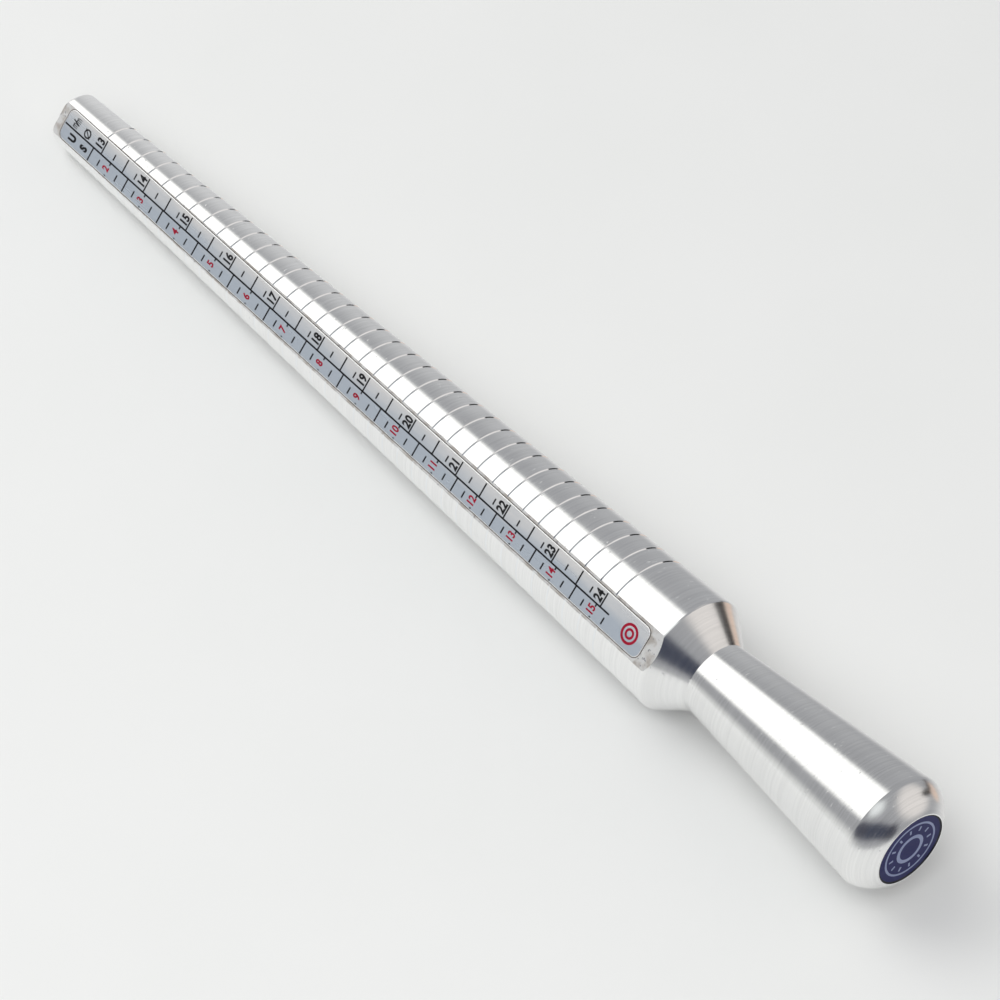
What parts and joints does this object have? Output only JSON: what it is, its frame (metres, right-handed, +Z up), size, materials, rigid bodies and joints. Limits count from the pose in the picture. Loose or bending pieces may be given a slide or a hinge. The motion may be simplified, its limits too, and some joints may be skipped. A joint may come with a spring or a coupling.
{
  "type": "ring mandrel",
  "caption": "Tapered aluminium ring sizing mandrel with scribed size lines, flat printed scale labels and a flared, domed handle.",
  "frame": {"origin": "centre of the tool's bounding box at table height: the tool lies at rest on a narrow facet along its taper", "axes": "+X from the narrow tip to the handle, +Z up, the front printed scale faces -Y and upwards"},
  "size_m": [0.2522, 0.0252, 0.0266],
  "materials": {
    "rod_aluminium": "fine turned and polished",
    "handle_aluminium": "fine turned and polished",
    "label_foil": "satin blue-grey foil print with black and red marks",
    "disc_blue": "glossy dark blue with a pale pictogram"
  },
  "bodies": {
    "root": {"rod": "rod_aluminium", "handle": "handle_aluminium", "front_scale_label": "label_foil", "back_scale_label": "label_foil", "end_disc": "disc_blue"}
  },
  "joints": []
}
